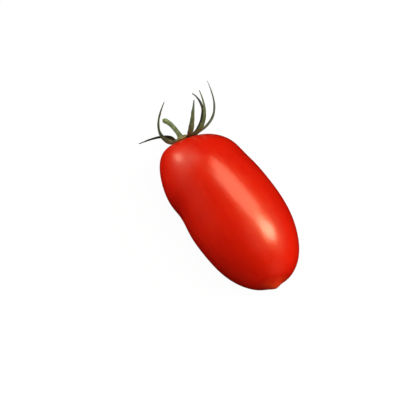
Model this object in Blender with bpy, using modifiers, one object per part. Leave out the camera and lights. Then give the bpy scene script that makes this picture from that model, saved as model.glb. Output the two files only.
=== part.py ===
"""A ripe plum tomato, picked with its calyx and a stub of stem, lying on its side.

Metres, +Z up. The origin is the middle of the small flat that the fruit rests on. The fruit
lies along Y with its stem end at +Y and its blossom end at -Y. Every piece is shaped in the
fruit's own frame, whose origin is the fruit's middle, and is then set down on the flat.
"""

import math
from typing import NamedTuple

import bmesh
import bpy
from mathutils import Matrix, Vector

MM = 0.001
GAP = 0.3 * MM  # clearance between pieces that touch

# The fruit's body
FRUIT_LENGTH = 92.0 * MM
FRUIT_WIDTH = 49.8 * MM
FRUIT_HEIGHT_SHARE = 0.955  # the fruit is a little flatter than it is wide
STEM_SQUARENESS = 2.79  # exponent of the profile: 2 is an ellipse, more is blockier
BLOSSOM_SQUARENESS = 2.2
FRUIT_BEND = 2.8 * MM  # the middle stands out to +X by this much
WAIST_DEPTH = 1.9 * MM  # hollow in the -X side
WAIST_PLACE = 12.9 * MM
WAIST_REACH = 9.0 * MM

# The oblique stem end and the ribs on its shoulder
STEM_FACE_TILT_X = math.radians(12.6)
STEM_FACE_TILT_Z = math.radians(16.0)
STEM_FACE_SHIFT = 4.8 * MM
STEM_FACE_FROM = 0.37  # share of the half length where the slant begins
DIMPLE_DEPTH = 0.5 * MM
DIMPLE_RADIUS = 6.0 * MM
RIB_COUNT = 3
RIB_DEPTH = 0.35 * MM
RIB_TURN = math.radians(40)

# The oblique blossom end, and its nipple in a shallow ring-shaped hollow
BLOSSOM_FACE_TILT = math.radians(3.0)
BLOSSOM_FACE_FROM = 0.5
BLOSSOM_FACE_SHIFT = 0.4 * MM
BLOSSOM_SHIFT_FROM = 0.3
NIPPLE_HEIGHT = 1.2 * MM
NIPPLE_RADIUS = 3.0 * MM
NIPPLE_X = -3.2 * MM
NIPPLE_Z = 0.5 * MM
HOLLOW_DEPTH = 0.3 * MM
HOLLOW_RADIUS = 6.5 * MM
HOLLOW_REACH = 2.6 * MM

# The flat that the fruit rests on
FLAT_DEPTH = 0.33 * MM

# The calyx: a disc on the stem end, with sepals round its rim
DISC_RADIUS = 3.7 * MM
DISC_THICKNESS = 1.4 * MM
DISC_RIM_SHARE = 0.55  # the rim's thickness as a share of the middle's
SEPAL_WIDTH = 3.4 * MM
SEPAL_THICKNESS = 0.6 * MM
SEPAL_TIP_SHARE = 0.1
SEPAL_WIDEST = 0.28  # share of the length where the sepal is widest
SEPAL_TAPER = 1.4  # above 1 keeps its width longer towards the tip
SEPAL_GUTTER = 0.22  # how far the edges curl up, as a share of the half width

# The stub of stem
PEDICEL_RADIUS = 1.15 * MM
PEDICEL_LENGTH = 13.4 * MM
PEDICEL_OFFSET = -0.85 * MM  # its foot stands a little off the disc's middle
PEDICEL_LEAN_FOOT = math.radians(16)
PEDICEL_LEAN_TIP = math.radians(58)
PEDICEL_LATE_BEND = 5.0  # 1 is an even bend, more bends mostly near the tip
PEDICEL_FLARE = 0.35  # how much thicker the foot is, as a share of the radius
PEDICEL_FLARE_REACH = 0.12  # share of the length
PEDICEL_KNUCKLE = 0.14  # how much thicker the knuckle near the cut end is
PEDICEL_KNUCKLE_PLACE = 0.9
PEDICEL_KNUCKLE_REACH = 0.15
PEDICEL_ROUNDING = 0.37  # how much narrower the cut end is than the knuckle

# Mesh fineness
FRUIT_SEGMENTS = 48
FRUIT_RINGS = 36
RING_CROWDING = 0.25  # draws the rings towards the two ends, where the skin bends most
DISC_SEGMENTS = 24
DISC_RINGS = 10
SEPAL_ROWS = 16
SEPAL_COLUMNS = 4
PEDICEL_POINTS = 14
PEDICEL_FOOT_POINTS = 3
SHARP_ANGLE = math.radians(40)  # edges sharper than this aren't shaded smooth


class Sepal(NamedTuple):
    """One sepal: angles in degrees, lengths in metres."""

    around: float  # where its base stands, from +X towards +Z
    length: float
    breadth: float  # its greatest width as a share of SEPAL_WIDTH
    rise_base: float  # 0 runs outward over the shoulder, 90 stands along the stem
    rise_tip: float
    early_curl: float  # above 0 curls mostly near the base, below 0 mostly near the tip
    sweep: float  # how far it swings round the stem on its way
    twist: float
    lift: float  # how far its base stands above the disc's middle plane


SEPALS = (
    Sepal(209, 21.8 * MM, 0.75, 73, 1, 3.7, -4, 0, 0.5 * MM),
    Sepal(160, 27.2 * MM, 0.95, -14, 139, 2.5, 48, -10, 0.0 * MM),
    Sepal(51, 20.2 * MM, 1.15, -4, 63, 6.5, -28, 0, 0.0 * MM),
    Sepal(15, 27.3 * MM, 1.0, -8, 93, 1.5, 31, 40, 0.0 * MM),
    Sepal(-12, 42.0 * MM, 0.6, 0, 101, -0.8, -64, 0, 0.5 * MM),
    Sepal(-50, 33.3 * MM, 0.8, -2, 129, -0.7, 62, 0, 0.0 * MM),
)

FRUIT_RED = (0.66, 0.02, 0.008)
CALYX_GREEN = (0.13, 0.17, 0.035)
SEPAL_GREEN = (0.10, 0.15, 0.035)
PEDICEL_GREEN = (0.22, 0.27, 0.08)


def smooth_step(value):
    """0 below 0, 1 above 1, and an even rise between them."""
    value = min(max(value, 0.0), 1.0)
    return value * value * (3 - 2 * value)


def onset(share, start):
    """0 up to the start, then an even rise to 1 at a share of 1."""
    return smooth_step((share - start) / (1 - start))


def bell(distance, reach):
    """1 at no distance, falling away over the reach."""
    return math.exp(-((distance / reach) ** 2))


def fruit_point(polar, around):
    """A point on the skin: polar runs from the stem pole (0) to the blossom pole (pi)."""
    half_length = FRUIT_LENGTH / 2
    softness = BLOSSOM_SQUARENESS - STEM_SQUARENESS
    squareness = STEM_SQUARENESS + softness * smooth_step(polar / math.pi)
    along = math.copysign(abs(math.cos(polar)) ** (2 / squareness), math.cos(polar))
    fullness = abs(math.sin(polar)) ** (2 / squareness)
    y = half_length * along

    rib = RIB_DEPTH * fullness * along**2 * math.cos(RIB_COUNT * around + RIB_TURN)
    radius = FRUIT_WIDTH / 2 * fullness + rib
    x = radius * math.cos(around)
    z = radius * math.sin(around) * FRUIT_HEIGHT_SHARE

    left_side = max(-math.cos(around), 0.0) ** 2 * fullness
    x += WAIST_DEPTH * bell(y - WAIST_PLACE, WAIST_REACH) * left_side
    x += FRUIT_BEND * (1 - along**2)
    x += BLOSSOM_FACE_SHIFT * onset(-along, BLOSSOM_SHIFT_FROM)

    slant = onset(along, STEM_FACE_FROM)
    x += STEM_FACE_SHIFT * slant
    from_pole_x = x - STEM_FACE_SHIFT
    y -= slant * math.tan(STEM_FACE_TILT_X) * from_pole_x
    y -= slant * math.tan(STEM_FACE_TILT_Z) * z
    if along > 0:
        y -= DIMPLE_DEPTH * bell(math.hypot(from_pole_x, z), DIMPLE_RADIUS)
    else:
        slant = onset(-along, BLOSSOM_FACE_FROM)
        y -= slant * math.tan(BLOSSOM_FACE_TILT) * (x - BLOSSOM_FACE_SHIFT)
        from_nipple = math.hypot(x - NIPPLE_X, z - NIPPLE_Z)
        y -= NIPPLE_HEIGHT * bell(from_nipple, NIPPLE_RADIUS)
        y += HOLLOW_DEPTH * bell(from_nipple - HOLLOW_RADIUS, HOLLOW_REACH)
    return Vector((x, y, z))


def stem_face_point(distance, around):
    """The skin's point at a distance across from the stem pole."""
    share = 2 * distance / FRUIT_WIDTH
    return fruit_point(math.asin(share ** (STEM_SQUARENESS / 2)), around)


def calyx_frame():
    """The frame of the calyx: Y out along the stem, X and Z across, origin mid-disc."""
    out = Vector((math.tan(STEM_FACE_TILT_X), 1, math.tan(STEM_FACE_TILT_Z))).normalized()
    front = (Vector((0, 0, 1)) - out.z * out).normalized()
    side = out.cross(front)
    middle = fruit_point(0, 0) + out * (GAP + DISC_THICKNESS / 2)
    return Matrix.Translation(middle) @ Matrix((side, out, front)).transposed().to_4x4()


def material(name, colour, roughness):
    made = bpy.data.materials.new(name)
    made.use_nodes = True
    shader = made.node_tree.nodes["Principled BSDF"]
    shader.inputs["Base Color"].default_value = (*colour, 1)
    shader.inputs["Roughness"].default_value = roughness
    shader.inputs["Metallic"].default_value = 0
    return made


def add_object(name, mesh, finish, collection):
    piece = bpy.data.objects.new(name, mesh)
    mesh.materials.append(finish)
    collection.objects.link(piece)
    return piece


def mesh_from(name, bm):
    mesh = bpy.data.meshes.new(name)
    bmesh.ops.recalc_face_normals(bm, faces=bm.faces)
    bm.to_mesh(mesh)
    bm.free()
    mesh.shade_smooth()
    mesh.set_sharp_from_angle(angle=SHARP_ANGLE)
    return mesh


def unit_sphere(segments, rings):
    """A bmesh ball, and each of its points as angles from its pole and round it."""
    bm = bmesh.new()
    bmesh.ops.create_uvsphere(bm, u_segments=segments, v_segments=rings, radius=1)
    angles = {}
    for vert in bm.verts:
        polar = math.acos(min(max(vert.co.z, -1.0), 1.0))
        angles[vert] = (polar, math.atan2(vert.co.y, vert.co.x))
    return bm, angles


def fruit_mesh():
    """The fruit's closed skin, with the flat cut under it, and where the flat's middle is."""
    bm, angles = unit_sphere(FRUIT_SEGMENTS, FRUIT_RINGS)
    for vert, (polar, around) in angles.items():
        crowded = polar - RING_CROWDING * math.sin(2 * polar)
        vert.co = fruit_point(crowded, around)
    floor = min(vert.co.z for vert in bm.verts) + FLAT_DEPTH
    cut = bmesh.ops.bisect_plane(
        bm,
        geom=bm.verts[:] + bm.edges[:] + bm.faces[:],
        plane_co=(0, 0, floor),
        plane_no=(0, 0, -1),
        clear_outer=True,
    )
    rim = [part for part in cut["geom_cut"] if isinstance(part, bmesh.types.BMEdge)]
    flat = bmesh.ops.contextual_create(bm, geom=rim)["faces"][0]
    middle = flat.calc_center_median()
    return mesh_from("fruit", bm), middle


def disc_mesh():
    """The calyx's middle: a ball pressed flat onto the stem end, a gap above the skin."""
    out = calyx_frame().to_3x3() @ Vector((0, 1, 0))
    bm, angles = unit_sphere(DISC_SEGMENTS, DISC_RINGS)
    for vert, (polar, around) in angles.items():
        across = math.sqrt(math.sin(polar))
        thickness = DISC_THICKNESS * (1 - (1 - DISC_RIM_SHARE) * across**2)
        height = GAP + thickness * (1 + math.cos(polar)) / 2
        vert.co = stem_face_point(DISC_RADIUS * across, around) + height * out
    return mesh_from("calyx_disc", bm)


def seat_radius():
    """How far from the stem's middle line the sepals start: a gap outside the disc's rim."""
    return DISC_RADIUS / math.cos(STEM_FACE_TILT_X) + GAP


def sepal_base_half_width():
    """Half the width of a sepal's foot: the two closest feet stand a gap apart."""
    places = sorted(sepal.around for sepal in SEPALS)
    closest = min(after - before for before, after in zip(places, places[1:]))
    return seat_radius() * math.tan(math.radians(closest / 2)) - GAP


def sepal_rise(sepal, share):
    """How steeply a sepal climbs, this share of the way along it, in radians."""
    turned = 1 - math.exp(-sepal.early_curl * share)
    turned /= 1 - math.exp(-sepal.early_curl)
    return math.radians(sepal.rise_base + (sepal.rise_tip - sepal.rise_base) * turned)


def sepal_heading(sepal, share):
    """The directions along a sepal and out of its upper face, this share of the way along."""
    around = math.radians(sepal.around + sepal.sweep * share)
    rise = sepal_rise(sepal, share)
    outward = Vector((math.cos(around), 0, math.sin(around)))
    stemward = Vector((0, 1, 0))
    along = math.cos(rise) * outward + math.sin(rise) * stemward
    face = math.cos(rise) * stemward - math.sin(rise) * outward
    twist = Matrix.Rotation(math.radians(sepal.twist * share), 3, along)
    return along, twist @ face


def sepal_spine(sepal):
    """A row of (point, direction across, face direction) from base to tip."""
    seat = seat_radius()
    base = math.radians(sepal.around)
    point = Vector((seat * math.cos(base), sepal.lift, seat * math.sin(base)))
    step = sepal.length / SEPAL_ROWS
    spine = []
    for row in range(SEPAL_ROWS + 1):
        along, face = sepal_heading(sepal, row / SEPAL_ROWS)
        spine.append((point.copy(), along.cross(face), face))
        halfway, _ = sepal_heading(sepal, (row + 0.5) / SEPAL_ROWS)
        point += step * halfway
    return spine


def sepal_half_width(sepal, share):
    """Half the sepal's width, this share of the way along: a lance with a narrow foot."""
    widest = SEPAL_WIDTH / 2 * sepal.breadth
    if share < SEPAL_WIDEST:
        still_to_widen = (1 - share / SEPAL_WIDEST) ** 2
        return widest - (widest - sepal_base_half_width()) * still_to_widen
    beyond = (share - SEPAL_WIDEST) / (1 - SEPAL_WIDEST)
    return widest * (1 - (1 - SEPAL_TIP_SHARE) * beyond**SEPAL_TAPER)


def sepal_mesh(name, sepal):
    """The sepal's middle surface, a grid bent along its spine. Solidify gives it thickness."""
    spine = sepal_spine(sepal)
    bm = bmesh.new()
    bmesh.ops.create_grid(bm, x_segments=SEPAL_ROWS, y_segments=SEPAL_COLUMNS, size=1)
    for vert in bm.verts:
        row = round((vert.co.x + 1) / 2 * SEPAL_ROWS)
        point, across, face = spine[row]
        half = sepal_half_width(sepal, row / SEPAL_ROWS)
        side = vert.co.y
        curl = SEPAL_GUTTER * half * side**2
        vert.co = point + across * half * side + face * curl
    return mesh_from(name, bm)


def pedicel_path():
    """(point, radius share) along the stem stub, in the calyx's frame."""
    step = PEDICEL_LENGTH / (PEDICEL_POINTS - 1)
    point = Vector((PEDICEL_OFFSET, DISC_THICKNESS / 2 + GAP, 0))
    path = []
    for index in range(PEDICEL_POINTS):
        share = index / (PEDICEL_POINTS - 1)
        flare = PEDICEL_FLARE * bell(share, PEDICEL_FLARE_REACH)
        knuckle = PEDICEL_KNUCKLE * bell(share - PEDICEL_KNUCKLE_PLACE, PEDICEL_KNUCKLE_REACH)
        rounding = 1 - PEDICEL_ROUNDING * onset(share, PEDICEL_KNUCKLE_PLACE)
        path.append((point.copy(), (1 + flare + knuckle) * rounding))
        halfway = index + 0.5
        late = (halfway / (PEDICEL_POINTS - 1)) ** PEDICEL_LATE_BEND
        lean = PEDICEL_LEAN_FOOT + (PEDICEL_LEAN_TIP - PEDICEL_LEAN_FOOT) * late
        lean *= min(halfway / PEDICEL_FOOT_POINTS, 1)
        point += step * Vector((-math.sin(lean), math.cos(lean), 0))
    return path


def pedicel_curve():
    curve = bpy.data.curves.new("pedicel", "CURVE")
    curve.dimensions = "3D"
    curve.bevel_depth = PEDICEL_RADIUS
    curve.bevel_resolution = 2
    curve.use_fill_caps = True
    path = pedicel_path()
    line = curve.splines.new("POLY")
    line.points.add(len(path) - 1)
    for knot, (point, radius_share) in zip(line.points, path):
        knot.co = (*point, 1)
        knot.radius = radius_share
    return curve


def clear_scene():
    for old in list(bpy.data.objects):
        bpy.data.objects.remove(old, do_unlink=True)


def build():
    clear_scene()
    parts = bpy.data.collections.new("plum_tomato")
    bpy.context.scene.collection.children.link(parts)

    skin = material("tomato_skin", FRUIT_RED, 0.25)
    disc_green = material("calyx_green", CALYX_GREEN, 0.7)
    sepal_green = material("sepal_green", SEPAL_GREEN, 0.65)
    stem_green = material("pedicel_green", PEDICEL_GREEN, 0.7)

    mesh, flat_middle = fruit_mesh()
    set_down = Matrix.Translation(-flat_middle)
    calyx = set_down @ calyx_frame()

    fruit = add_object("fruit", mesh, skin, parts)
    fruit.matrix_world = set_down
    disc = add_object("calyx_disc", disc_mesh(), disc_green, parts)
    disc.matrix_world = set_down
    for number, sepal in enumerate(SEPALS, start=1):
        name = f"sepal_{number}"
        blade = add_object(name, sepal_mesh(name, sepal), sepal_green, parts)
        blade.matrix_world = calyx
        wall = blade.modifiers.new("thickness", "SOLIDIFY")
        wall.thickness = SEPAL_THICKNESS
        wall.offset = 0
    stub = add_object("pedicel", pedicel_curve(), stem_green, parts)
    stub.matrix_world = calyx


build()
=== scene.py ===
"""A ripe plum tomato with its calyx and a stub of stem, finished for looking at.

Metres, +Z up. The fruit lies along Y on the floor, stem end at +Y. Each piece is shaped in the
fruit's own frame, from the sizes that the solid model is built with, and then set on the box that
the solid fruit fills. The skin, the calyx and the stem stub take the places of their plain solids.
Where the calyx or the stub departs from its solid, a named value below says so.
"""

import math
import random
from typing import NamedTuple

import bmesh
import bpy
from mathutils import Matrix, Quaternion, Vector, noise


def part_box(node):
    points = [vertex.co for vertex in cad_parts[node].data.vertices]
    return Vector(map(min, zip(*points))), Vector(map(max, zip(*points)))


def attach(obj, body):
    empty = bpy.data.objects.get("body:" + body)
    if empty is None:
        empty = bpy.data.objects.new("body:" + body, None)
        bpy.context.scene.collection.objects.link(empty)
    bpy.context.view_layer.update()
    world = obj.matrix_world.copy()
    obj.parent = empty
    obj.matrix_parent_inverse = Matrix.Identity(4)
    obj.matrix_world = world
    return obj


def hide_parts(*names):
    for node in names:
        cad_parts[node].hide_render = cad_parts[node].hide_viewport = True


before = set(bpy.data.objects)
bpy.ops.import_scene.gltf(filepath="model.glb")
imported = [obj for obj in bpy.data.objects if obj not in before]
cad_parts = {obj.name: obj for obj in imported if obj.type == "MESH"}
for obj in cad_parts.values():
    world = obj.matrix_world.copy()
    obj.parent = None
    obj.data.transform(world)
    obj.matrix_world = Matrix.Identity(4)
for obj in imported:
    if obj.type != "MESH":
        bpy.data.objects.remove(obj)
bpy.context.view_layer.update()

MM = 0.001
GAP = 0.3 * MM  # clearance between solid pieces that touch

# The fruit's body
FRUIT_LENGTH = 92.0 * MM
FRUIT_WIDTH = 49.8 * MM
FRUIT_HEIGHT_SHARE = 0.955  # the fruit is a little flatter than it is wide
STEM_SQUARENESS = 2.79  # exponent of the profile: 2 is an ellipse, more is blockier
BLOSSOM_SQUARENESS = 2.2
FRUIT_BEND = 2.8 * MM  # the middle stands out to +X by this much
WAIST_DEPTH = 1.9 * MM  # hollow in the -X side
WAIST_PLACE = 12.9 * MM
WAIST_REACH = 9.0 * MM

# The oblique stem end, and the ribs on its shoulder
STEM_FACE_TILT_X = math.radians(12.6)
STEM_FACE_TILT_Z = math.radians(16.0)
STEM_FACE_SHIFT = 4.8 * MM
STEM_FACE_FROM = 0.37  # share of the half length where the slant begins
DIMPLE_DEPTH = 0.5 * MM
DIMPLE_RADIUS = 6.0 * MM
RIB_COUNT = 3
RIB_DEPTH = 0.35 * MM
RIB_TURN = math.radians(40)

# The oblique blossom end, and its nipple in a shallow ring-shaped hollow
BLOSSOM_FACE_TILT = math.radians(3.0)
BLOSSOM_FACE_FROM = 0.5
BLOSSOM_FACE_SHIFT = 0.4 * MM
BLOSSOM_SHIFT_FROM = 0.3
NIPPLE_HEIGHT = 1.2 * MM
NIPPLE_RADIUS = 3.0 * MM
NIPPLE_X = -3.2 * MM
NIPPLE_Z = 0.5 * MM
HOLLOW_DEPTH = 0.3 * MM
HOLLOW_RADIUS = 6.5 * MM
HOLLOW_REACH = 2.6 * MM

# The skin's slow swells
SWELL_HEIGHT = 0.10 * MM
SWELL_LENGTH = 13 * MM

# The corky scar on the nipple
SCAR_RADIUS = 0.6 * MM
SCAR_HEIGHT = 0.1 * MM
SCAR_LOBES = 5
SCAR_LOBE_REACH = 0.12  # share of the radius

# The calyx's middle: a boss with a rib towards each sepal
DISC_RADIUS = 3.7 * MM
DISC_THICKNESS = 1.4 * MM
DISC_RIM_SHARE = 0.55  # the rim's thickness as a share of the middle's
BOSS_RISE = 1.7  # the boss's height against its plain solid's
BOSS_RIB_HEIGHT = 0.28 * MM
BOSS_RIB_REACH = math.radians(13)
BOSS_RIM_REACH = 0.94  # the rim between two lobes, as a share of the disc's radius
BOSS_LOBE_REACH = 0.12  # how much further out a lobe stands
BOSS_GRAIN_HEIGHT = 0.08 * MM
BOSS_GRAIN_ACROSS = 3
BOSS_GRAIN_AROUND = 2

# The sepals' outline
SEPAL_WIDTH = 3.4 * MM
SEPAL_THICKNESS = 0.6 * MM
SEPAL_TIP_SHARE = 0.1
SEPAL_WIDEST = 0.28  # share of the length where the sepal is widest
SEPAL_TAPER = 1.4  # above 1 keeps its width longer towards the tip
SPREAD_CHANGE_END = 0.5  # share of the length from which the far spread holds
ROOT_RINGS = 6  # rings of a sepal that run inside the boss
ROOT_REACH = 1.7 * MM
WIDTH_WAVER = 0.05  # how much a sepal's width comes and goes along it
WIDTH_WAVER_RATE = 34

# The sepals' section: a folded blade, thick at its midrib
FOLD = 0.75  # how deep a sepal's channel is, as a share of its half width
FOLD_FULL_FROM = 0.125  # share of the length
KEEL_SHARE = 0.5  # how much of that depth lies below the blade's own plane
BLADE_FULLNESS = 1.25  # the blade's thickness against its plain solid's
TIP_THINNING = 0.4  # how much thinner a blade is at its tip
EDGE_THINNING = 0.62  # how much thinner a blade is at its edges
SECTION_FULLNESS = 0.7  # below 1 keeps the thickness further towards the edges
MIDRIB_CROWDING = 1.5  # above 1 brings the blade's points closer to its midrib
FOOT_SWELL = 0.9  # how much thicker a sepal is where it leaves the boss
FOOT_SWELL_REACH = 0.16
MIDRIB_HEIGHT = 0.22 * MM
MIDRIB_REACH = 0.13
MIDRIB_FADE = 0.8  # how much lower the midrib is at the tip
MIDRIB_UPPER_SHARE = 0.5  # the midrib on the upper face against the lower one
EDGE_RIPPLE = 0.10
EDGE_RIPPLE_RATE = 21
EDGE_RIPPLE_FROM = 0.1
EDGE_RIPPLE_SHIFT = 2  # sets each sepal's ripple off from the one before

# Stem stub
PEDICEL_RADIUS = 1.15 * MM
PEDICEL_LENGTH = 13.4 * MM
PEDICEL_OFFSET = -0.85 * MM  # its foot stands a little off the boss's middle
PEDICEL_LEAN_FOOT = math.radians(16)
PEDICEL_LEAN_TIP = math.radians(72)  # the plain solid's is 58 degrees
PEDICEL_LATE_BEND = 3.8  # 1 is an even bend, the plain solid's is 5
PEDICEL_FLARE = 0.35  # how much thicker the foot is, as a share of the radius
PEDICEL_FLARE_REACH = 0.12  # share of the length
PEDICEL_KNUCKLE = 0.14  # how much thicker the knuckle near the cut end is
PEDICEL_KNUCKLE_PLACE = 0.9
PEDICEL_KNUCKLE_REACH = 0.15
PEDICEL_CREASE = 0.10  # how much narrower the crease beside the knuckle is
PEDICEL_CREASE_PLACE = 0.80
PEDICEL_CREASE_REACH = 0.012
PEDICEL_ROUNDING = 0.37  # how much narrower the cut end is than the knuckle
PEDICEL_FOOT_SHARE = 3 / 13  # share of the length over which it turns from upright to its lean
STUB_ROOT = 1.1 * MM  # how far the stub's foot runs down into the boss
STUB_RIBS = 5
STUB_RIB_HEIGHT = 0.045  # share of the radius
STUB_FINE_RIBS = 11
STUB_FINE_RIB_HEIGHT = 0.02
STUB_FINE_RIB_TURN = 1.3
CUT_HOLLOW = 0.35 * MM

# The fine hairs on the stub and the sepals
HAIR_COUNT = 620
HAIR_SEED = 11
HAIR_LENGTH = 0.55 * MM  # of the longest
HAIR_SHORTEST = 0.5  # share of that length
HAIR_RADIUS = 0.022 * MM
HAIR_TIP_SHARE = 0.15
HAIR_SIDES = 3
HAIR_SINK = 0.97  # where a hair's foot stands, as a share of the stub's radius
HAIR_LEAN = 0.5
HAIR_OUTWARD_LEAN = 0.8
HAIRS_ON_STUB = 0.5  # share of the hairs
HAIRLESS_ENDS = 4  # rings left bare at the foot of a piece and at the stub's cut end
HAIRLESS_TIP = 12  # rings left bare at a sepal's tip
HAIRY_WIDTH = 0.95  # share of a sepal's half width that bears hairs

# Mesh fineness
SKIN_SEGMENTS = 208
SKIN_RINGS = 160
RING_CROWDING = 0.25  # brings the skin's rings closer together at its two ends
DISC_SEGMENTS = 96
DISC_RINGS = 40
SEPAL_SEGMENTS = 56
SEPAL_RINGS = 84
STUB_SEGMENTS = 40
STUB_RINGS = 80
SCAR_SEGMENTS = 32
SCAR_RINGS = 16

# Colours of the skin
DEEP_RED = (0.64, 0.004, 0.0006)
BRIGHT_RED = (0.74, 0.008, 0.0006)
STREAK_RED = (0.80, 0.018, 0.001)
SPECK_ORANGE = (0.80, 0.16, 0.04)
BLOSSOM_END_ORANGE = (0.74, 0.07, 0.012)
GLOSS_TINT = (1.0, 0.62, 0.22)
SCAR_BROWN = (0.22, 0.09, 0.03)

# Colours of the calyx and the stub
BROWN = (0.105, 0.055, 0.018)
OLIVE = (0.075, 0.100, 0.022)
GREY_GREEN = (0.095, 0.125, 0.065)
# painted shade: near-black for the sixth sepal, which lies in shadow
PAINTED_SHADE_BLACK = (0.014, 0.014, 0.009)
RIB_GREEN = (0.17, 0.18, 0.07)
# painted shade: mixed over one side of every sepal's fold
PAINTED_FOLD_SHADE_GREEN = (0.022, 0.042, 0.020)
BOSS_BROWN = (0.16, 0.10, 0.03)
BOSS_OLIVE = (0.24, 0.22, 0.06)
BOSS_GREEN = (0.33, 0.30, 0.10)
STUB_DARK_GREEN = (0.11, 0.18, 0.05)
STUB_GREEN = (0.18, 0.27, 0.09)
STUB_PALE_GREEN = (0.31, 0.38, 0.17)
STUB_FOOT_YELLOW = (0.30, 0.27, 0.09)
CUT_END_BROWN = (0.30, 0.22, 0.10)
HAIR_GREEN = (0.45, 0.47, 0.28)

# The floor and the room
FLOOR_HALF_SIZE = 4.0
FLOOR_DROP = 0.0001  # below the fruit, so that the two never lie in one plane
FLOOR_GREY = (0.06, 0.06, 0.06)
FLOOR_GLOW = 0.95
ROOM_WHITE = (1.0, 0.99, 0.98)
WORLD_GLOW = 0.12
BACKDROP_GLOW = 0.85  # added where the camera sees past everything

# The camera and the lights
STAGE_CENTRE = Vector((0, 0, 0.024))
CAMERA_AZIMUTH = math.radians(-35.4)
CAMERA_ELEVATION = math.radians(70)
CAMERA_DISTANCE = 0.85
FRAME_WIDTH = 0.2028  # what the picture spans at the stage's centre
SENSOR = 36  # in millimetres
LOOK_LEFT = 0.0157
LOOK_UP = 0.0049
WARM = (1.0, 0.82, 0.60)
NEUTRAL = (1.0, 0.97, 0.94)


class Sepal(NamedTuple):
    """One sepal: angles in degrees, lengths in metres, breadth a share of the common width."""

    around: float
    length: float
    breadth: float
    rise_base: float
    rise_tip: float
    early_curl: float
    sweep: float
    twist: float
    lift: float


SEPALS = (
    Sepal(209, 21.8 * MM, 0.75, 73, 1, 3.7, -4, 0, 0.5 * MM),
    Sepal(160, 27.2 * MM, 0.95, -14, 139, 2.5, 48, -10, 0.0 * MM),
    Sepal(51, 20.2 * MM, 1.15, -4, 63, 6.5, -28, 0, 0.0 * MM),
    Sepal(15, 27.3 * MM, 1.0, -8, 93, 1.5, 31, 40, 0.0 * MM),
    Sepal(-12, 42.0 * MM, 0.6, 0, 101, -0.8, -64, 0, 0.5 * MM),
    Sepal(-50, 33.3 * MM, 0.8, -2, 129, -0.7, 62, 0, 0.0 * MM),
)


class SepalLook(NamedTuple):
    """A sepal's width against its plain solid's, near its foot and beyond, and its colours."""

    near_spread: float
    far_spread: float
    finish: str
    foot: tuple
    middle: tuple
    tip: tuple


# The first sepal, and the sixth beyond its brown foot, get near-black colours: painted shade for the shadow
# that each of them lies in.
SEPAL_LOOKS = (
    SepalLook(1.2, 0.9, "sepal_1_painted_shade", (0.05, 0.028, 0.012), (0.020, 0.012, 0.008), (0.030, 0.014, 0.010)),
    SepalLook(1.5, 0.7, "sepal_2_olive", (0.34, 0.30, 0.13), (0.125, 0.125, 0.045), (0.085, 0.060, 0.025)),
    SepalLook(1.15, 1.0, "sepal_3_green", BROWN, (0.065, 0.088, 0.024), (0.030, 0.075, 0.040)),
    SepalLook(1.1, 0.9, "sepal_4_green", BROWN, OLIVE, (0.075, 0.115, 0.050)),
    SepalLook(1.0, 0.9, "sepal_5_grey", BROWN, GREY_GREEN, (0.085, 0.110, 0.070)),
    SepalLook(1.1, 1.6, "sepal_6_painted_shade", BROWN, PAINTED_SHADE_BLACK, (0.010, 0.010, 0.006)),
)


class Softbox(NamedTuple):
    """A soft area light: a highlight on the gloss alone, or a fill that leaves no highlight.

    Lengths in metres, the turn about its own axis in degrees.
    """

    name: str
    direction: tuple
    power: float
    shape: str = "ELLIPSE"
    distance: float = 1.2
    width: float = 1.0
    height: float = 1.0
    turn: float = 0
    colour: tuple = NEUTRAL
    highlight: bool = False


SOFTBOXES = (
    Softbox("strip_light", (0.44, 0.25, 0.84), 6.4, "RECTANGLE", 0.9, 0.62, 0.56, 0, WARM, True),
    Softbox("spot_light", (0.595, -0.275, 0.756), 8.4, "ELLIPSE", 0.9, 0.38, 0.50, 0, WARM, True),
    Softbox("bridge_light", (0.05, 0.85, 0.53), 0.28, "ELLIPSE", 0.9, 0.24, 0.60, 37, WARM, True),
    Softbox("low_light", (-0.26, 0.96, 0.10), 0.42, "ELLIPSE", 0.7, 0.15, 0.18, 0, WARM, True),
    Softbox("top_fill", (0.07, -0.34, 0.94), 6.6),
    Softbox("right_fill", (0.79, -0.36, 0.5), 10.6),
    Softbox("stem_fill", (-0.2, 0.97, 0.25), 13.0),
    Softbox("blossom_fill", (0.20, -0.96, 0.12), 4.0),
    Softbox("left_fill", (-0.72, 0.60, 0.35), 3.0),
)


# Shapes -----------------------------------------------------------------------------------


def smooth_step(value):
    """0 below 0, 1 above 1, and an even rise between them."""
    value = min(max(value, 0.0), 1.0)
    return value * value * (3 - 2 * value)


def onset(share, start):
    """0 up to the start, then an even rise to 1 at a share of 1."""
    return smooth_step((share - start) / (1 - start))


def bell(distance, reach):
    """1 at no distance, falling away over the reach."""
    return math.exp(-((distance / reach) ** 2))


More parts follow.
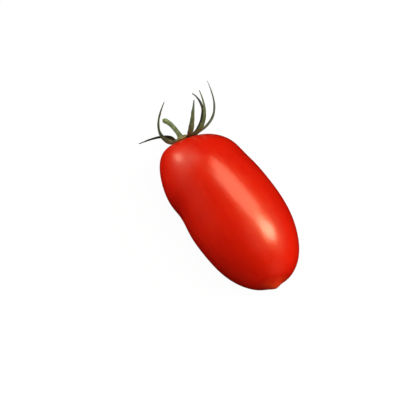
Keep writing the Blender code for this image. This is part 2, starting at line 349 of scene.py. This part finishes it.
def fruit_point(polar, around):
    """A point on the skin: polar runs from the stem pole (0) to the blossom pole (pi)."""
    half_length = FRUIT_LENGTH / 2
    softness = BLOSSOM_SQUARENESS - STEM_SQUARENESS
    squareness = STEM_SQUARENESS + softness * smooth_step(polar / math.pi)
    along = math.copysign(abs(math.cos(polar)) ** (2 / squareness), math.cos(polar))
    fullness = abs(math.sin(polar)) ** (2 / squareness)
    y = half_length * along

    rib = RIB_DEPTH * fullness * along**2 * math.cos(RIB_COUNT * around + RIB_TURN)
    radius = FRUIT_WIDTH / 2 * fullness + rib
    x = radius * math.cos(around)
    z = radius * math.sin(around) * FRUIT_HEIGHT_SHARE

    left_side = max(-math.cos(around), 0.0) ** 2 * fullness
    x += WAIST_DEPTH * bell(y - WAIST_PLACE, WAIST_REACH) * left_side
    x += FRUIT_BEND * (1 - along**2)
    x += BLOSSOM_FACE_SHIFT * onset(-along, BLOSSOM_SHIFT_FROM)

    slant = onset(along, STEM_FACE_FROM)
    x += STEM_FACE_SHIFT * slant
    from_pole_x = x - STEM_FACE_SHIFT
    y -= slant * math.tan(STEM_FACE_TILT_X) * from_pole_x
    y -= slant * math.tan(STEM_FACE_TILT_Z) * z
    if along > 0:
        y -= DIMPLE_DEPTH * bell(math.hypot(from_pole_x, z), DIMPLE_RADIUS)
    else:
        slant = onset(-along, BLOSSOM_FACE_FROM)
        y -= slant * math.tan(BLOSSOM_FACE_TILT) * (x - BLOSSOM_FACE_SHIFT)
        from_nipple = math.hypot(x - NIPPLE_X, z - NIPPLE_Z)
        y -= NIPPLE_HEIGHT * bell(from_nipple, NIPPLE_RADIUS)
        y += HOLLOW_DEPTH * bell(from_nipple - HOLLOW_RADIUS, HOLLOW_REACH)
    return Vector((x, y, z))


def stem_face_point(distance, around):
    """The skin's point at a distance across from the stem pole."""
    share = 2 * distance / FRUIT_WIDTH
    return fruit_point(math.asin(share ** (STEM_SQUARENESS / 2)), around)


def calyx_frame():
    """The frame of the calyx: Y out along the stem, X and Z across, origin mid-disc."""
    out = Vector((math.tan(STEM_FACE_TILT_X), 1, math.tan(STEM_FACE_TILT_Z))).normalized()
    front = (Vector((0, 0, 1)) - out.z * out).normalized()
    side = out.cross(front)
    middle = fruit_point(0, 0) + out * (GAP + DISC_THICKNESS / 2)
    return Matrix.Translation(middle) @ Matrix((side, out, front)).transposed().to_4x4()


def unit_ball(segments, rings):
    """A bmesh ball, and each of its points as angles from its pole and round it."""
    bm = bmesh.new()
    bm.verts.layers.float_vector.new("blade")
    bmesh.ops.create_uvsphere(bm, u_segments=segments, v_segments=rings, radius=1)
    angles = {}
    for vert in bm.verts:
        polar = math.acos(min(max(vert.co.z, -1.0), 1.0))
        angles[vert] = (polar, math.atan2(vert.co.y, vert.co.x))
    return bm, angles


def finished_piece(name, bm, finish, slot_name, *nodes):
    """A smooth object at the origin made from the bmesh, in the place of the named solids."""
    bmesh.ops.recalc_face_normals(bm, faces=bm.faces)
    mesh = bpy.data.meshes.new(name)
    bm.to_mesh(mesh)
    bm.free()
    mesh.shade_smooth()
    piece = bpy.data.objects.new(name, mesh)
    bpy.context.scene.collection.objects.link(piece)
    mesh.materials.append(finish)
    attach(piece, "root")
    if nodes:
        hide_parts(*nodes)
    return piece


def fruit_mesh():
    """The skin's bmesh in the fruit's own frame, and the shift that sets it on its box."""
    bm, angles = unit_ball(SKIN_SEGMENTS, SKIN_RINGS)
    for vert, (polar, around) in angles.items():
        crowded = polar - RING_CROWDING * math.sin(2 * polar)
        vert.co = fruit_point(crowded, around)
    low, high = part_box("fruit")
    shift = Vector()
    for axis in range(2):
        places = [vert.co[axis] for vert in bm.verts]
        shift[axis] = (low[axis] + high[axis] - min(places) - max(places)) / 2
    shift.z = high[2] - max(vert.co.z for vert in bm.verts)
    return bm, shift


class Skin(NamedTuple):
    """The finished skin, and the shift from the fruit's own frame to its place."""

    piece: bpy.types.Object
    shift: Vector


def add_skin():
    """The fruit's skin with its slow swells, set on the box of its solid and cut off flat below."""
    bm, shift = fruit_mesh()
    finish = skin_finish(shift)
    bm.normal_update()
    for vert in bm.verts:
        swell = noise.noise(vert.co / SWELL_LENGTH)
        vert.co += vert.normal * swell * SWELL_HEIGHT
    for vert in bm.verts:
        vert.co += shift
        vert.co.z = max(vert.co.z, 0.0)
    piece = finished_piece("fruit_skin", bm, finish, "tomato_skin", "fruit")
    return Skin(piece, shift)


def add_calyx_disc(finish, shift):
    """A low boss with a rib towards each sepal, lobed at its rim where the sepals start."""
    out = calyx_frame().to_3x3() @ Vector((0, 1, 0))
    bm, angles = unit_ball(DISC_SEGMENTS, DISC_RINGS)
    for vert, (polar, around) in angles.items():
        across = math.sqrt(math.sin(polar))
        ribs = 0.0
        for sepal in SEPALS:
            apart = math.remainder(around - math.radians(sepal.around), 2 * math.pi)
            ribs += bell(apart, BOSS_RIB_REACH)
        thickness = DISC_THICKNESS * (1 - (1 - DISC_RIM_SHARE) * across**2)
        height = GAP + BOSS_RISE * thickness * (1 + math.cos(polar)) / 2
        if polar < math.pi / 2:
            height += BOSS_RIB_HEIGHT * ribs * across**2
            grain = Vector((across * BOSS_GRAIN_ACROSS, around * BOSS_GRAIN_AROUND, 1.0))
            height += BOSS_GRAIN_HEIGHT * noise.noise(grain)
        lobed = DISC_RADIUS * across * (BOSS_RIM_REACH + BOSS_LOBE_REACH * ribs)
        vert.co = stem_face_point(lobed, around) + height * out + shift
    finished_piece("calyx_boss", bm, finish, "calyx_green", "calyx_disc")


def seat_radius():
    """How far from the stem's middle line the sepals start: a gap outside the disc's rim."""
    return DISC_RADIUS / math.cos(STEM_FACE_TILT_X) + GAP


def sepal_base_half_width():
    """Half the width of a sepal's foot: the two closest feet stand a gap apart."""
    places = sorted(sepal.around for sepal in SEPALS)
    closest = min(after - before for before, after in zip(places, places[1:]))
    return seat_radius() * math.tan(math.radians(closest / 2)) - GAP


def sepal_rise(sepal, share):
    """How steeply a sepal climbs, this share of the way along it, in radians."""
    turned = 1 - math.exp(-sepal.early_curl * share)
    turned /= 1 - math.exp(-sepal.early_curl)
    return math.radians(sepal.rise_base + (sepal.rise_tip - sepal.rise_base) * turned)


def sepal_heading(sepal, share):
    """The directions along a sepal and out of its upper face, this share of the way along."""
    around = math.radians(sepal.around + sepal.sweep * share)
    rise = sepal_rise(sepal, share)
    outward = Vector((math.cos(around), 0, math.sin(around)))
    stemward = Vector((0, 1, 0))
    along = math.cos(rise) * outward + math.sin(rise) * stemward
    face = math.cos(rise) * stemward - math.sin(rise) * outward
    twist = Matrix.Rotation(math.radians(sepal.twist * share), 3, along)
    return along, twist @ face


def sepal_half_width(sepal, share):
    """Half the sepal's width, this share of the way along: a lance with a narrow foot."""
    widest = SEPAL_WIDTH / 2 * sepal.breadth
    if share < SEPAL_WIDEST:
        still_to_widen = (1 - share / SEPAL_WIDEST) ** 2
        return widest - (widest - sepal_base_half_width()) * still_to_widen
    beyond = (share - SEPAL_WIDEST) / (1 - SEPAL_WIDEST)
    return widest * (1 - (1 - SEPAL_TIP_SHARE) * beyond**SEPAL_TAPER)


def sepal_spine(sepal):
    """A row of (point, across, face, share along) from inside the disc to the tip."""
    seat = seat_radius()
    base = math.radians(sepal.around)
    outward = Vector((math.cos(base), 0, math.sin(base)))
    point = seat * outward + Vector((0, sepal.lift, 0))
    root = (seat - ROOT_REACH) * outward
    along, face = sepal_heading(sepal, 0)
    spine = []
    for ring in range(ROOT_RINGS):
        place = root.lerp(point, ring / ROOT_RINGS)
        spine.append((place, along.cross(face), face, 0.0))
    rows = SEPAL_RINGS - ROOT_RINGS
    step = sepal.length / rows
    for row in range(rows + 1):
        share = row / rows
        along, face = sepal_heading(sepal, share)
        spine.append((point.copy(), along.cross(face), face, share))
        halfway, _ = sepal_heading(sepal, share + 0.5 / rows)
        point += step * halfway
    return spine


def blade_half_width(number, sepal, look, share):
    """Half the blade's width, this share of the way along: the outline, spread and wavering."""
    change = smooth_step(share / SPREAD_CHANGE_END)
    spread = look.near_spread + (look.far_spread - look.near_spread) * change
    waver = 1 + WIDTH_WAVER * math.sin(share * WIDTH_WAVER_RATE + number)
    return sepal_half_width(sepal, share) * spread * waver


def blade_body(side, wall, share):
    """How far the blade's skin stands off its middle plane: wall is 1 above it, -1 below."""
    thinning = BLADE_FULLNESS * (1 - TIP_THINNING * share)
    thinning *= 1 + FOOT_SWELL * bell(share, FOOT_SWELL_REACH)
    body = SEPAL_THICKNESS / 2 * thinning * (1 - EDGE_THINNING * side * side)
    body *= math.copysign(abs(wall) ** SECTION_FULLNESS, wall)
    midrib = MIDRIB_HEIGHT * bell(side, MIDRIB_REACH) * (1 - MIDRIB_FADE * share)
    return body - (midrib if wall < 0 else MIDRIB_UPPER_SHARE * midrib)


def fold_height(half, side):
    """How far the full fold lifts a point of the blade, this share of its half width out."""
    return FOLD * half * (side * side - KEEL_SHARE)


def add_sepal(number, sepal, look, to_world):
    """A folded blade: thick along its midrib, thin at its rippled edges."""
    finish = leaf_finish(look)
    spine = sepal_spine(sepal)
    bm, angles = unit_ball(SEPAL_SEGMENTS, SEPAL_RINGS)
    blade = bm.verts.layers.float_vector["blade"]
    for vert, (polar, around) in angles.items():
        ring = round(polar / math.pi * SEPAL_RINGS)
        place, across, face, share = spine[ring]
        side = math.copysign(abs(math.cos(around)) ** MIDRIB_CROWDING, math.cos(around))
        wall = math.sin(around)
        closed = ring in (0, SEPAL_RINGS)
        half = 0.0 if closed else blade_half_width(number, sepal, look, share)
        body = 0.0 if closed else blade_body(side, wall, share)
        fold = fold_height(half, side) * smooth_step(share / FOLD_FULL_FROM)
        ripple = math.sin(share * EDGE_RIPPLE_RATE + EDGE_RIPPLE_SHIFT * number)
        wave = EDGE_RIPPLE * half * ripple * onset(share, EDGE_RIPPLE_FROM) * side**3
        vert.co = to_world @ (place + across * half * side + face * (body + fold + wave))
        vert[blade] = (side, share, wall)
    name = f"sepal_blade_{number}"
    finished_piece(name, bm, finish, "sepal_green", f"sepal_{number}")


def stub_radius(share):
    """The stub's radius, this share of the way along: flared foot, crease, knuckle, rounding."""
    flare = PEDICEL_FLARE * bell(share, PEDICEL_FLARE_REACH)
    knuckle = PEDICEL_KNUCKLE * bell(share - PEDICEL_KNUCKLE_PLACE, PEDICEL_KNUCKLE_REACH)
    crease = PEDICEL_CREASE * bell(share - PEDICEL_CREASE_PLACE, PEDICEL_CREASE_REACH)
    rounding = 1 - PEDICEL_ROUNDING * onset(share, PEDICEL_KNUCKLE_PLACE)
    return PEDICEL_RADIUS * (1 + flare + knuckle - crease) * rounding


def stub_path():
    """(point, radius, direction, share along) from the stub's foot to its cut end."""
    step = PEDICEL_LENGTH / STUB_RINGS
    point = Vector((PEDICEL_OFFSET, DISC_THICKNESS / 2 + GAP, 0))
    path = []
    for ring in range(STUB_RINGS + 1):
        share = ring / STUB_RINGS
        halfway = (ring + 0.5) / STUB_RINGS
        late = halfway**PEDICEL_LATE_BEND
        lean = PEDICEL_LEAN_FOOT + (PEDICEL_LEAN_TIP - PEDICEL_LEAN_FOOT) * late
        lean *= min(halfway / PEDICEL_FOOT_SHARE, 1)
        heading = Vector((-math.sin(lean), math.cos(lean), 0))
        path.append((point.copy(), stub_radius(share), heading, share))
        point += step * heading
    return path


def stub_spoke(heading, turn):
    """The direction out of the stub's side, this far round it."""
    fore = Vector((0, 0, 1))
    return math.cos(turn) * heading.cross(fore) + math.sin(turn) * fore


def add_stub(finish, to_world):
    """The stem stub: five soft ribs among finer ones, a crease, and a hollow cut end."""
    path = stub_path()
    bm, angles = unit_ball(STUB_SEGMENTS, STUB_RINGS)
    blade = bm.verts.layers.float_vector["blade"]
    for vert, (polar, around) in angles.items():
        ring = round(polar / math.pi * STUB_RINGS)
        place, radius, heading, share = path[ring]
        ribs = 1 + STUB_RIB_HEIGHT * math.cos(STUB_RIBS * around)
        ribs += STUB_FINE_RIB_HEIGHT * math.cos(STUB_FINE_RIBS * around + STUB_FINE_RIB_TURN)
        if ring == 0:
            spot = place - heading * STUB_ROOT
        elif ring == STUB_RINGS:
            spot = place - heading * CUT_HOLLOW
        else:
            spot = place + stub_spoke(heading, around) * radius * ribs
        vert.co = to_world @ spot
        vert[blade] = (math.cos(around), share, math.sin(around))
    finished_piece("stem_stub", bm, finish, "pedicel_green", "pedicel")


def stub_hair(draw, path):
    """The foot and the direction of a hair on the stub."""
    ring = draw.randint(HAIRLESS_ENDS, STUB_RINGS - HAIRLESS_ENDS)
    place, radius, heading, _ = path[ring]
    spoke = stub_spoke(heading, draw.uniform(0, 2 * math.pi))
    lean = draw.uniform(-HAIR_LEAN, HAIR_LEAN)
    return place + spoke * radius * HAIR_SINK, (spoke + heading * lean).normalized()


def sepal_hair(draw, spines):
    """The foot and the direction of a hair on one of the sepals."""
    number = draw.randrange(len(SEPALS))
    ring = draw.randint(ROOT_RINGS + HAIRLESS_ENDS, SEPAL_RINGS - HAIRLESS_TIP)
    place, across, face, share = spines[number][ring]
    side = draw.uniform(-HAIRY_WIDTH, HAIRY_WIDTH)
    half = sepal_half_width(SEPALS[number], share)
    foot = place + across * half * side + face * fold_height(half, side)
    up_or_down = draw.choice((-1, 1))
    return foot, (up_or_down * face + across * side * HAIR_OUTWARD_LEAN).normalized()


def add_hairs(finish, to_world):
    """The short fine hairs on the stem stub and on both faces of the sepals."""
    draw = random.Random(HAIR_SEED)
    bm = bmesh.new()
    path = stub_path()
    spines = [sepal_spine(sepal) for sepal in SEPALS]
    for _ in range(HAIR_COUNT):
        if draw.random() < HAIRS_ON_STUB:
            foot, aim = stub_hair(draw, path)
        else:
            foot, aim = sepal_hair(draw, spines)
        length = HAIR_LENGTH * draw.uniform(HAIR_SHORTEST, 1.0)
        stand = aim.to_track_quat("Z", "Y").to_matrix().to_4x4()
        bmesh.ops.create_cone(
            bm,
            cap_ends=True,
            segments=HAIR_SIDES,
            radius1=HAIR_RADIUS,
            radius2=HAIR_RADIUS * HAIR_TIP_SHARE,
            depth=length,
            matrix=to_world @ Matrix.Translation(foot + aim * length / 2) @ stand,
        )
    finished_piece("fine_hairs", bm, finish, "pedicel_green")


def add_blossom_scar(finish, skin):
    """The small corky point that the blossom leaves on the nipple, seated on the skin."""
    nipple = Vector((NIPPLE_X, 0, NIPPLE_Z)) + skin.shift
    blossom_end = [vert for vert in skin.piece.data.vertices if vert.co.y < 0]

    def off_nipple(vert):
        return math.hypot(vert.co.x - nipple.x, vert.co.z - nipple.z)

    seat = min(blossom_end, key=off_nipple)
    stand = Vector(seat.normal).to_track_quat("Z", "Y").to_matrix()
    bm, angles = unit_ball(SCAR_SEGMENTS, SCAR_RINGS)
    for vert, (polar, around) in angles.items():
        lobed = 1 + SCAR_LOBE_REACH * math.cos(SCAR_LOBES * around)
        reach = SCAR_RADIUS * lobed * math.sin(polar)
        height = SCAR_HEIGHT * math.cos(polar)
        spot = Vector((reach * math.cos(around), reach * math.sin(around), height))
        vert.co = seat.co + stand @ spot
    finished_piece("blossom_scar", bm, finish, "tomato_skin")


# Finishes ---------------------------------------------------------------------------------


class Finish:
    """A material being built: its nodes, and the shader that they lead to."""

    def __init__(self, name):
        self.material = bpy.data.materials.new(name)
        self.material.use_nodes = True
        self.tree = self.material.node_tree
        self.shader = self.tree.nodes["Principled BSDF"]

    def node(self, kind, **settings):
        made = self.tree.nodes.new(kind)
        for key, value in settings.items():
            setattr(made, key, value)
        return made

    def link(self, start, end):
        self.tree.links.new(start, end)

    def drive(self, name, source):
        """Let a node's output set one of the shader's inputs."""
        self.link(source, self.shader.inputs[name])

    def set(self, name, value):
        self.shader.inputs[name].default_value = value

    def feed(self, socket, value):
        """Give a node's input a number, a colour or another node's output."""
        if isinstance(value, tuple):
            socket.default_value = (*value, 1)
        elif isinstance(value, (float, int)):
            socket.default_value = value
        else:
            self.link(value, socket)

    def object_coordinates(self):
        return self.node("ShaderNodeTexCoord").outputs["Object"]

    def across_and_along(self):
        """A blade's own coordinates: -1 to 1 across it, and 0 to 1 from its foot to its tip."""
        blade = self.node("ShaderNodeAttribute", attribute_name="blade").outputs["Vector"]
        parts = self.node("ShaderNodeSeparateXYZ")
        self.link(blade, parts.inputs[0])
        return parts.outputs[0], parts.outputs[1]

    def noise(self, vector, scale, detail):
        made = self.node("ShaderNodeTexNoise")
        made.inputs["Scale"].default_value = scale
        made.inputs["Detail"].default_value = detail
        self.link(vector, made.inputs["Vector"])
        return made.outputs["Fac"]

    def ramp(self, value, *stops):
        made = self.node("ShaderNodeValToRGB")
        bar = made.color_ramp
        while len(bar.elements) < len(stops):
            bar.elements.new(0.5)
        for element, (place, colour) in zip(bar.elements, stops):
            element.position = place
            element.color = (*colour, 1)
        self.link(value, made.inputs["Fac"])
        return made.outputs["Color"]

    def range(self, value, low, high, new_low, new_high):
        made = self.node("ShaderNodeMapRange")
        made.inputs["From Min"].default_value = low
        made.inputs["From Max"].default_value = high
        made.inputs["To Min"].default_value = new_low
        made.inputs["To Max"].default_value = new_high
        self.link(value, made.inputs["Value"])
        return made.outputs["Result"]

    def mix(self, share, first, second, blend_type="MIX"):
        made = self.node("ShaderNodeMix", data_type="RGBA", blend_type=blend_type)
        for socket, value in ((0, share), (6, first), (7, second)):
            self.feed(made.inputs[socket], value)
        return made.outputs[2]

    def maths(self, operation, first, second=0.5):
        made = self.node("ShaderNodeMath", operation=operation)
        self.feed(made.inputs[0], first)
        self.feed(made.inputs[1], second)
        return made.outputs[0]

    def bump(self, height, strength, distance):
        made = self.node("ShaderNodeBump")
        made.inputs["Strength"].default_value = strength
        made.inputs["Distance"].default_value = distance
        self.link(height, made.inputs["Height"])
        return made.outputs["Normal"]

    def under_surface(self, weight, radius, scale):
        """Light that enters the flesh and comes out again near by."""
        self.set("Subsurface Weight", weight)
        self.set("Subsurface Radius", radius)
        self.set("Subsurface Scale", scale)


def skin_finish(shift):
    """Glossy ripe skin: deep red in faint clouds and streaks, with pin-prick pale specks."""
    f = Finish("ripe_skin")
    where = f.object_coordinates()
    clouds = f.noise(where, scale=38, detail=3)
    red = f.ramp(clouds, (0.3, DEEP_RED), (0.7, BRIGHT_RED))

    stretched = f.node("ShaderNodeMapping")
    stretched.inputs["Scale"].default_value = (1.0, 0.10, 1.0)
    f.link(where, stretched.inputs["Vector"])
    streaks = f.noise(stretched.outputs["Vector"], scale=420, detail=3)
    streak_share = f.range(streaks, 0.35, 0.70, 0.0, 0.30)
    streaked = f.mix(streak_share, red, STREAK_RED)

    specks = f.noise(where, scale=1500, detail=1)
    speck_share = f.range(specks, 0.70, 0.80, 0.0, 0.16)
    speckled = f.mix(speck_share, streaked, SPECK_ORANGE)

    reach = f.node("ShaderNodeVectorMath", operation="DISTANCE")
    f.link(where, reach.inputs[0])
    reach.inputs[1].default_value = Vector((NIPPLE_X, -FRUIT_LENGTH / 2, NIPPLE_Z)) + shift
    ragged = f.range(f.noise(where, scale=300, detail=2), 0.3, 0.7, -1.5 * MM, 1.5 * MM)
    from_nipple = f.maths("ADD", reach.outputs["Value"], ragged)
    pale_share = f.range(from_nipple, 2 * MM, 9 * MM, 0.5, 0.0)
    f.drive("Base Color", f.mix(pale_share, speckled, BLOSSOM_END_ORANGE))

    f.drive("Roughness", f.range(f.noise(where, scale=260, detail=3), 0.3, 0.7, 0.32, 0.40))
    streak_height = f.maths("MULTIPLY", streaks, 0.8)
    fine = f.maths("ADD", f.noise(where, scale=900, detail=2), streak_height)
    uneven_skin = f.bump(fine, strength=0.35, distance=0.2 * MM)
    f.drive("Normal", uneven_skin)
    f.drive("Coat Normal", uneven_skin)
    f.set("IOR", 1.43)
    f.set("Specular Tint", (*GLOSS_TINT, 1))
    f.set("Coat Weight", 0.55)
    f.set("Coat Roughness", 0.18)
    f.under_surface(weight=0.08, radius=(1.0, 0.25, 0.1), scale=2 * MM)
    return f.material


def leaf_finish(look):
    """A sepal: its colours from foot to tip, a pale rib, fine veins, and painted shade that darkens one
    side of its fold.
    """
    f = Finish(look.finish)
    side, along = f.across_and_along()
    where = f.object_coordinates()
    blotch = f.noise(where, scale=420, detail=4)
    shifted = f.maths("ADD", along, f.range(blotch, 0.3, 0.7, -0.12, 0.12))
    stops = (0.02, look.foot), (0.30, look.middle), (0.62, look.middle), (0.95, look.tip)
    lengthwise = f.ramp(shifted, *stops)
    # Painted shade: one side of the blade, across its fold, is darkened towards a dark green.
    painted_fold_shade_share = f.range(side, -0.35, 0.15, 0.55, 0.0)
    body = f.mix(painted_fold_shade_share, lengthwise, PAINTED_FOLD_SHADE_GREEN)
    rib_share = f.range(f.maths("ABSOLUTE", side), 0.04, 0.16, 0.55, 0.0)
    ribbed = f.mix(rib_share, body, RIB_GREEN)
    darker, lighter = (0.7, 0.7, 0.7), (1.15, 1.15, 1.15)
    shade = f.ramp(f.noise(where, scale=1500, detail=3), (0.3, darker), (0.7, lighter))
    f.drive("Base Color", f.mix(1.0, ribbed, shade, blend_type="MULTIPLY"))
    veins = f.maths("SINE", f.maths("MULTIPLY", side, 26.0))
    vein_height = f.maths("MULTIPLY", veins, 0.35)
    grain = f.maths("ADD", vein_height, f.noise(where, scale=2200, detail=3))
    f.drive("Normal", f.bump(grain, strength=0.35, distance=0.1 * MM))
    f.set("Roughness", 0.62)
    f.under_surface(weight=0.12, radius=(0.6, 1.0, 0.3), scale=0.6 * MM)
    return f.material


def boss_finish():
    """The calyx's middle: green mottled with brown, dull and grained."""
    f = Finish("calyx_boss_green")
    where = f.object_coordinates()
    mottled = f.noise(where, scale=700, detail=4)
    stops = (0.3, BOSS_BROWN), (0.5, BOSS_OLIVE), (0.7, BOSS_GREEN)
    f.drive("Base Color", f.ramp(mottled, *stops))
    grain = f.noise(where, scale=1800, detail=3)
    f.drive("Normal", f.bump(grain, strength=0.4, distance=0.12 * MM))
    f.set("Roughness", 0.7)
    return f.material


def stub_finish():
    """Mottled green bark, yellower at its foot, with a dry brown cut end."""
    f = Finish("stem_stub_green")
    _, along = f.across_and_along()
    where = f.object_coordinates()
    mottled = f.noise(where, scale=650, detail=4)
    stops = (0.3, STUB_DARK_GREEN), (0.5, STUB_GREEN), (0.72, STUB_PALE_GREEN)
    green = f.ramp(mottled, *stops)
    foot_share = f.range(along, 0.0, 0.16, 0.6, 0.0)
    footed = f.mix(foot_share, green, STUB_FOOT_YELLOW)
    end_share = f.range(along, 0.955, 0.985, 0.0, 1.0)
    f.drive("Base Color", f.mix(end_share, footed, CUT_END_BROWN))
    grain = f.noise(where, scale=2000, detail=3)
    f.drive("Normal", f.bump(grain, strength=0.35, distance=0.12 * MM))
    f.set("Roughness", 0.6)
    f.under_surface(weight=0.1, radius=(0.6, 1.0, 0.3), scale=0.8 * MM)
    return f.material


def plain_finish(name, colour, roughness):
    """One colour, a quarter darker in small clouds."""
    f = Finish(name)
    shade = f.noise(f.object_coordinates(), scale=1400, detail=3)
    darker = tuple(0.75 * part for part in colour)
    f.drive("Base Color", f.ramp(shade, (0.3, darker), (0.7, colour)))
    f.set("Roughness", roughness)
    return f.material


# Studio -----------------------------------------------------------------------------------


def add_floor():
    """A glowing white floor with a faint shadow. It doesn't light the fruit or show in its gloss."""
    bm = bmesh.new()
    bmesh.ops.create_grid(bm, x_segments=1, y_segments=1, size=FLOOR_HALF_SIZE)
    mesh = bpy.data.meshes.new("floor")
    bm.to_mesh(mesh)
    bm.free()
    floor = bpy.data.objects.new("floor", mesh)
    floor.location.z = -FLOOR_DROP
    bpy.context.scene.collection.objects.link(floor)
    f = Finish("pale_floor")
    f.set("Base Color", (*FLOOR_GREY, 1))
    f.set("Roughness", 0.9)
    f.set("Specular IOR Level", 0.0)
    f.set("Emission Color", (1, 1, 1, 1))
    f.set("Emission Strength", FLOOR_GLOW)
    mesh.materials.append(f.material)
    floor.visible_diffuse = False
    floor.visible_glossy = False


def add_softbox(softbox):
    """An area light that faces the stage's centre from its own direction."""
    light = bpy.data.lights.new(softbox.name, "AREA")
    light.shape = softbox.shape
    light.size = softbox.width
    light.size_y = softbox.height
    light.energy = softbox.power
    light.color = softbox.colour
    box = bpy.data.objects.new(softbox.name, light)
    aim = Vector(softbox.direction).normalized()
    turn = Quaternion((0, 0, 1), math.radians(softbox.turn))
    box.location = STAGE_CENTRE + aim * softbox.distance
    box.rotation_mode = "QUATERNION"
    box.rotation_quaternion = aim.to_track_quat("Z", "Y") @ turn
    box.visible_glossy = softbox.highlight
    box.visible_diffuse = not softbox.highlight
    bpy.context.scene.collection.objects.link(box)


def add_camera():
    """The camera, set back from the stage's centre and turned a little aside from it."""
    azimuth, elevation = CAMERA_AZIMUTH, CAMERA_ELEVATION
    back_x = math.sin(azimuth) * math.cos(elevation)
    back_y = -math.cos(azimuth) * math.cos(elevation)
    back = Vector((back_x, back_y, math.sin(elevation)))
    right = Vector((math.cos(azimuth), math.sin(azimuth), 0))
    up = back.cross(right)
    data = bpy.data.cameras.new("camera")
    data.sensor_width = SENSOR
    data.lens = SENSOR * CAMERA_DISTANCE / FRAME_WIDTH
    camera = bpy.data.objects.new("camera", data)
    camera.location = STAGE_CENTRE + back * CAMERA_DISTANCE
    target = STAGE_CENTRE - right * LOOK_LEFT + up * LOOK_UP
    camera.rotation_mode = "QUATERNION"
    upright = Matrix((right, up, back)).transposed().to_quaternion()
    aimed_back = (camera.location - target).normalized()
    camera.rotation_quaternion = back.rotation_difference(aimed_back) @ upright
    bpy.context.scene.collection.objects.link(camera)
    bpy.context.scene.camera = camera


def add_world():
    """A dim white room: dark to reflections, and a bright backdrop where nothing stands."""
    world = bpy.data.worlds.new("studio")
    world.use_nodes = True
    tree = world.node_tree
    glow = tree.nodes["Background"]
    glow.inputs["Color"].default_value = (*ROOM_WHITE, 1)
    path = tree.nodes.new("ShaderNodeLightPath")
    level = tree.nodes.new("ShaderNodeMapRange")
    level.inputs["To Min"].default_value = WORLD_GLOW
    level.inputs["To Max"].default_value = 0.0
    backdrop = tree.nodes.new("ShaderNodeMath")
    backdrop.operation = "MULTIPLY_ADD"
    backdrop.inputs[1].default_value = BACKDROP_GLOW
    tree.links.new(path.outputs["Is Glossy Ray"], level.inputs["Value"])
    tree.links.new(path.outputs["Is Camera Ray"], backdrop.inputs[0])
    tree.links.new(level.outputs["Result"], backdrop.inputs[2])
    tree.links.new(backdrop.outputs[0], glow.inputs["Strength"])
    bpy.context.scene.world = world


# Build ------------------------------------------------------------------------------------

add_camera()
add_world()
add_floor()
for softbox in SOFTBOXES:
    add_softbox(softbox)

skin = add_skin()
to_world = Matrix.Translation(skin.shift) @ calyx_frame()
add_calyx_disc(boss_finish(), skin.shift)
for number, (sepal, look) in enumerate(zip(SEPALS, SEPAL_LOOKS), start=1):
    add_sepal(number, sepal, look, to_world)
add_stub(stub_finish(), to_world)
add_hairs(plain_finish("hair_pale_green", HAIR_GREEN, 0.5), to_world)
add_blossom_scar(plain_finish("scar_brown", SCAR_BROWN, 0.8), skin)

scene = bpy.context.scene
scene.view_settings.view_transform = "Standard"

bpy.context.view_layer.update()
